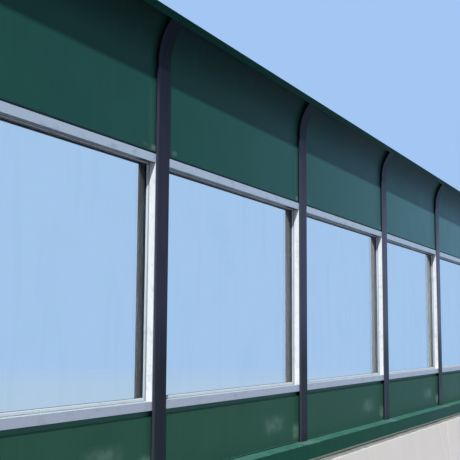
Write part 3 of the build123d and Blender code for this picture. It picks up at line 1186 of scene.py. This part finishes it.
def squeezedStretch(mesh, start, end, face, side, foot, settings, chance):
    count = max(2, int((end - start) / settings["step"]))
    root = face - side * settings["root"]
    rings, slow = [], 0.5
    for i in range(count + 1):
        slow = min(1.0, max(settings["least"], slow + chance.uniform(-settings["drift"], settings["drift"])))
        reach = settings["reach"] * slow * chance.uniform(*settings["uneven"])
        rise = settings["rise"] * (settings["lowest"] + slow * (1 - settings["lowest"]))
        rise *= chance.uniform(*settings["uneven"])
        x, z = start + (end - start) * i / count, foot + settings["lift"]
        outline = [(face + side * reach * out, z + rise * up) for out, up in settings["section"]]
        rings.append([Vector((x, y, height)) for y, height in [(root, z), *outline, (root, z + rise)]])
    joinRings(mesh, rings)


def addMortarFillet(settings):
    chance = random.Random(33)
    lowCorner, highCorner = nodeBox("mortar_bed")
    left, right = lowCorner[0] + settings["endGap"], highCorner[0] - settings["endGap"]
    front, rear, foot = lowCorner[1], highCorner[1], lowCorner[2]
    mesh = bmesh.new()
    squeezedStretch(mesh, left, right, front, -1, foot, settings, chance)
    # At the rear the pockets round the base plates interrupt it
    starts = [left] + [x + settings["pocket"] for x in postPlaces]
    stops = [x - settings["pocket"] for x in postPlaces] + [right]
    for start, end in zip(starts, stops):
        squeezedStretch(mesh, start, end, rear, 1, foot, settings, chance)
    finishPiece(mesh, "mortar_fillet", mortar, 50)


addMortarFillet(squeeze)
print("mortar fillet done")

# The photo's point of view, in metres, degrees and millimetres
cameraSettings = {
    "position": (-7.1491, -2.5993, 1.6896),
    "yaw": 27.122,  # from +X towards +Y
    "pitch": 6.747,
    "roll": 0.348,
    "lens": 70.435,
    "sensorWidth": 36.0,
    "clipEnd": 500.0,
}


def placeCamera(settings):
    yaw, pitch, roll = (math.radians(settings[k]) for k in ("yaw", "pitch", "roll"))
    ahead = Vector((math.cos(pitch) * math.cos(yaw), math.cos(pitch) * math.sin(yaw), math.sin(pitch)))
    levelRight = Vector((math.sin(yaw), -math.cos(yaw), 0.0))
    levelUp = levelRight.cross(ahead)
    right = levelRight * math.cos(roll) + levelUp * math.sin(roll)
    up = levelUp * math.cos(roll) - levelRight * math.sin(roll)
    turn = Matrix((right, up, -ahead)).transposed()
    data = bpy.data.cameras.new("camera")
    data.sensor_width = settings["sensorWidth"]
    data.lens = settings["lens"]
    data.clip_end = settings["clipEnd"]
    camera = bpy.data.objects.new("camera", data)
    camera.matrix_world = Matrix.Translation(settings["position"]) @ turn.to_4x4()
    bpy.context.scene.collection.objects.link(camera)
    bpy.context.scene.camera = camera


placeCamera(cameraSettings)

# Clear-sky studio: one sun, an even fill, and a floor that fades into the backdrop
studio = {
    "backdrop": (163, 198, 243),
    "fill": 0.38,
    "fillColour": (0.97, 1.0, 1.06, 1.0),  # linear
    "keyStrength": 5.75,
    "keySoftness": 1.2,
    "keyFrom": (-2.0, -1.0, 2.71),
    "keyDistance": 4.0,
    "floorShown": (134, 155, 178),
    "floorUnderLight": (112, 112, 112),
    "floorRadius": 60.0,
    "floorSides": 96,
    "floorFades": (14.0, 50.0),
    "floorHeight": -0.0006,
}


def seenDirectly(tree):
    seen = addNode(tree, "ShaderNodeLightPath", {})
    direct = calc(tree, "MAXIMUM", seen["Is Camera Ray"], seen["Is Glossy Ray"])
    return calc(tree, "MAXIMUM", direct, seen["Is Transmission Ray"])


def buildSky(settings):
    world = bpy.data.worlds.new("studio")
    bpy.context.scene.world = world
    world.use_nodes = True
    tree = world.node_tree
    fillInput = {"Color": settings["fillColour"], "Strength": settings["fill"]}
    shownInput = {"Color": screenColour(settings["backdrop"]), "Strength": 1.0}
    light = addNode(tree, "ShaderNodeBackground", fillInput)[0]
    shown = addNode(tree, "ShaderNodeBackground", shownInput)[0]
    mixed = addNode(tree, "ShaderNodeMixShader", {0: seenDirectly(tree), 1: light, 2: shown})[0]
    tree.links.new(mixed, tree.nodes["World Output"].inputs["Surface"])


def addSun(settings):
    lamp = bpy.data.lights.new("keyLight", "SUN")
    lamp.energy = settings["keyStrength"]
    lamp.angle = math.radians(settings["keySoftness"])
    key = bpy.data.objects.new("keyLight", lamp)
    key.rotation_mode = "QUATERNION"
    key.rotation_quaternion = Vector(settings["keyFrom"]).to_track_quat("Z", "Y")
    key.location = Vector(settings["keyFrom"]) * settings["keyDistance"]
    bpy.context.scene.collection.objects.link(key)


def addFloor(settings):
    bpy.ops.mesh.primitive_circle_add(
        vertices=settings["floorSides"],
        radius=settings["floorRadius"],
        fill_type="NGON",
        location=(0, 0, settings["floorHeight"]),
    )
    floor = bpy.context.object
    floor.name = "studioFloor"
    material, tree, shader = newMaterial("studioFloor", {"Roughness": 0.9, "Specular IOR Level": 0.1})
    colour = blendColours(tree, seenDirectly(tree), settings["floorUnderLight"], settings["floorShown"])
    fillInputs(tree, shader, {"Base Color": colour})
    reach = addNode(tree, "ShaderNodeVectorMath", {0: objectPlace(tree)}, operation="LENGTH")["Value"]
    ramp = remap(tree, reach, *settings["floorFades"])
    gone = addNode(tree, "ShaderNodeBsdfTransparent", {})[0]
    mixed = addNode(tree, "ShaderNodeMixShader", {0: ramp, 1: shader.outputs[0], 2: gone})[0]
    tree.links.new(mixed, tree.nodes["Material Output"].inputs["Surface"])
    floor.data.materials.append(material)


buildSky(studio)
addSun(studio)
addFloor(studio)
bpy.context.scene.view_settings.view_transform = "Standard"
print("studio ready")
